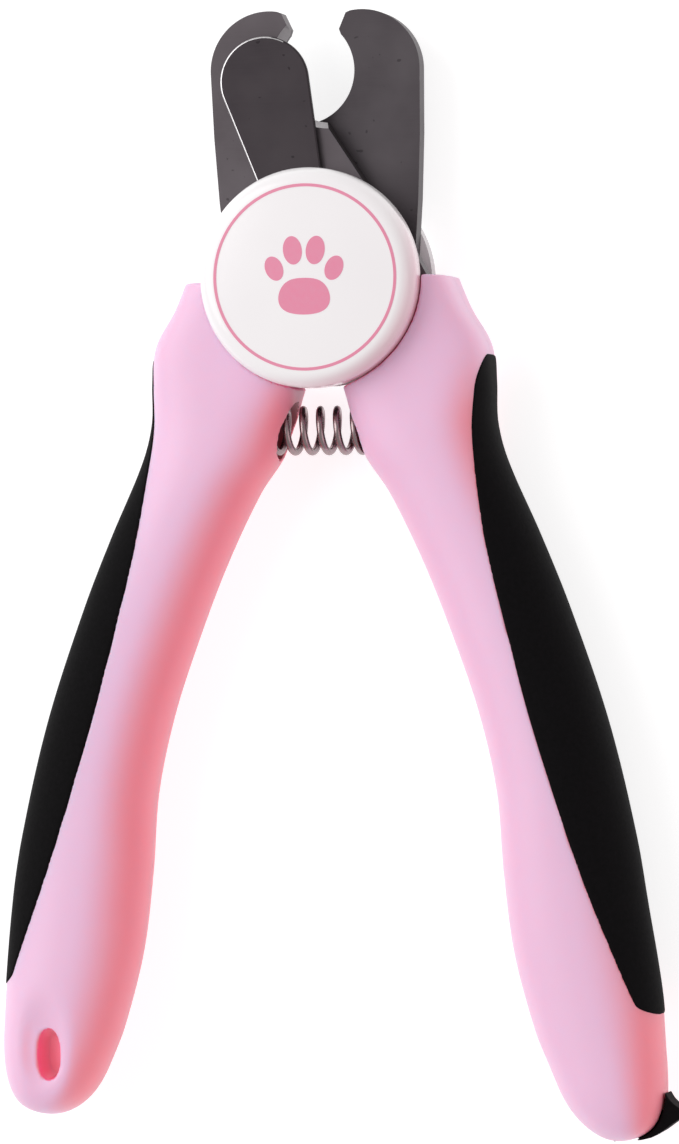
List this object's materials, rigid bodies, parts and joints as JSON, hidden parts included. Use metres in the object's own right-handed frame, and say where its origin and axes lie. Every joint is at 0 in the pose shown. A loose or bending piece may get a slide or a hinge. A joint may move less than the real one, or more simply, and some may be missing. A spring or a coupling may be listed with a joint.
{
  "type": "scissor nail clipper",
  "caption": "Pet nail clipper: notched steel blades cross at a capped pivot between two curved, sprung handles with rubber grips, a swinging nail guard and a stowed file.",
  "frame": {"origin": "on the pivot axis, at the flat back of the rear cap", "axes": "+Z towards the front cap, +Y along the clipper towards the blade tips, +X towards the handle that holds the nail file"},
  "size_m": [0.1063, 0.1718, 0.0232],
  "materials": {
    "pink_plastic": "satin moulded plastic",
    "black_rubber": "matte overmoulded rubber",
    "black_plastic": "matte",
    "white_plastic": "gloss, with a printed pink ring",
    "blade_steel": "dark ground steel with bright cutting edges",
    "guard_steel": "dark sheet steel with a bright sheared edge",
    "file_steel": "cross-cut file surface",
    "bright_steel": "bright zinc or nickel"
  },
  "bodies": {
    "fixed_side": {"left_front_shell": "pink_plastic", "left_back_shell": "pink_plastic", "left_grip": "black_rubber", "left_screw_1": "bright_steel", "left_screw_2": "bright_steel", "left_screw_3": "bright_steel", "rear_blade": "blade_steel", "stop_pin": "bright_steel", "pivot_bolt": "bright_steel", "pivot_nut": "bright_steel", "pivot_bush": "bright_steel", "front_washer": "bright_steel", "rear_washer": "bright_steel", "front_cap": "white_plastic", "rear_cap": "white_plastic", "coil_spring": "bright_steel"},
    "moving_side": {"right_front_shell": "pink_plastic", "right_back_shell": "pink_plastic", "right_grip": "black_rubber", "right_screw_1": "bright_steel", "right_screw_2": "bright_steel", "right_screw_3": "bright_steel", "front_blade": "blade_steel"},
    "guard": {"guard_plate": "guard_steel"},
    "file_set": {"nail_file": "file_steel", "file_tab": "black_plastic"}
  },
  "joints": [
    {"name": "jaw", "type": "hinge", "parent": "fixed_side", "child": "moving_side", "pos_m": [0, 0, 0.009], "axis": [0, 0, -1], "range_deg": [0, 22], "stiffness_Nm_per_rad": 0.6, "springref_deg": -11.46, "deforming": ["coil_spring"]},
    {"name": "guard_swing", "type": "hinge", "parent": "fixed_side", "child": "guard", "pos_m": [0, 0, 0.0134], "axis": [0, 0, -1], "range_deg": [0, 15]},
    {"name": "file_slide", "type": "slide", "parent": "moving_side", "child": "file_set", "axis": [0.2723, -0.9622, 0], "range_m": [0, 0.06]}
  ]
}
